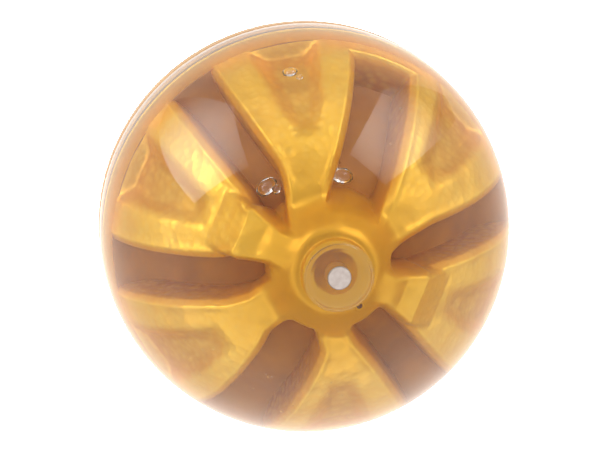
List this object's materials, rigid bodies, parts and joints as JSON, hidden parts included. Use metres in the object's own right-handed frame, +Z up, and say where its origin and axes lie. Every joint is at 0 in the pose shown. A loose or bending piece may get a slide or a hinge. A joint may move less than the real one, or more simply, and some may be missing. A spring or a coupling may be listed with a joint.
{
  "type": "raised pavement marker",
  "caption": "Round raised road marker: a solid clear dome cast over a gold reflector with radial arms and slots, on a flat base with a central anchor insert.",
  "frame": {"origin": "centre of the bottom face, which stands on the road", "axes": "+Z up along the dome's axis; the reflector's six arms lie at 0, 60, 120, ... degrees from +X and its slots halfway between"},
  "size_m": [0.1, 0.1, 0.0576],
  "materials": {
    "clear_lens": "polished clear, slightly warm at the edge",
    "gold_metallised": "gold metallised moulding with a soft pebbled surface",
    "brown_backing": "brown moulding with a low sheen",
    "frame_plastic": "black filled plastic",
    "amber_base": "amber moulding, glossy at the rim",
    "gasket_rubber": "thin brown gasket",
    "pale_pin": "pale grey, lightly moulded face",
    "spring_steel": "zinc plated",
    "insert_brass": "turned and threaded",
    "butyl_pad": "dull black butyl"
  },
  "bodies": {
    "root": {"dome_lens": "clear_lens", "hub_collar": "clear_lens", "centre_pin": "pale_pin", "spoke_reflector": "gold_metallised", "slot_backing": "brown_backing", "support_frame": "frame_plastic", "pin_clip": "spring_steel", "base_shell": "amber_base", "seal_ring": "gasket_rubber", "rim_posts": "pale_pin", "base_screws": "spring_steel", "anchor_insert": "insert_brass", "adhesive_pad": "butyl_pad"}
  },
  "joints": []
}
